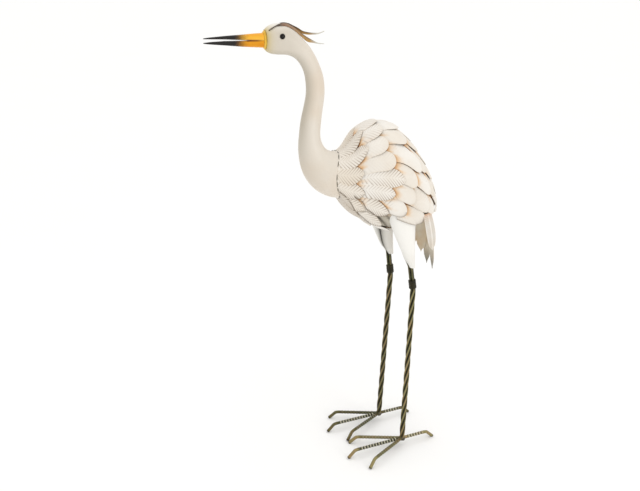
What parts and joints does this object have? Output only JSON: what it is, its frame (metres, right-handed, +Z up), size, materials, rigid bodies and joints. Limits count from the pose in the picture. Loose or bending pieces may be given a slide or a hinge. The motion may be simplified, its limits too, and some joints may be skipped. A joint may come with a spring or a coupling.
{
  "type": "metal crane garden statue",
  "caption": "Standing crane welded from painted sheet metal, with leaf-shaped feathers, a long bill, a crest and twisted-rod legs.",
  "frame": {"origin": "on the ground, under the middle of the bounding box", "axes": "+Z up, the bird faces -X, its left side is -Y"},
  "size_m": [0.5306, 0.2422, 0.9994],
  "materials": {
    "cream_paint": "satin ivory paint with soft warm and grey-green shading",
    "white_paint": "satin white paint",
    "feather_paint": "satin cream paint, airbrushed orange-gold in the gaps and at the edges",
    "bill_paint": "satin orange-yellow paint that fades to black at the tip",
    "collar_paint": "satin ochre paint with an olive edge",
    "eye_enamel": "gloss black",
    "crest_paint": "dark brown with a rubbed gold edge and pale tips",
    "bronze_rod": "dark olive bronze paint with rubbed gold highlights"
  },
  "bodies": {
    "root": {"neck_and_head": "cream_paint", "beak_collar": "collar_paint", "beak_upper": "bill_paint", "beak_lower": "bill_paint", "eye_left": "eye_enamel", "eye_right": "eye_enamel", "crest_plume_left": "crest_paint", "crest_plume_right": "crest_paint", "body_shell": "white_paint", "feather_row_1": "feather_paint", "feather_row_2": "feather_paint", "feather_row_3": "feather_paint", "feather_row_4": "feather_paint", "feather_row_5": "feather_paint", "feather_row_6": "feather_paint", "feather_row_7": "feather_paint", "belly_feather_1": "feather_paint", "belly_feather_2": "feather_paint", "tail_feather_1": "feather_paint", "tail_feather_2": "feather_paint", "tail_feather_3": "feather_paint", "tail_feather_4": "feather_paint", "tail_feather_5": "feather_paint", "thigh_left": "white_paint", "leg_left": "bronze_rod", "knee_wrap_left": "bronze_rod", "toe_middle_left": "bronze_rod", "toe_back_left": "bronze_rod", "toe_inner_left": "bronze_rod", "toe_outer_left": "bronze_rod", "thigh_right": "white_paint", "leg_right": "bronze_rod", "knee_wrap_right": "bronze_rod", "toe_middle_right": "bronze_rod", "toe_back_right": "bronze_rod", "toe_inner_right": "bronze_rod", "toe_outer_right": "bronze_rod"}
  },
  "joints": []
}
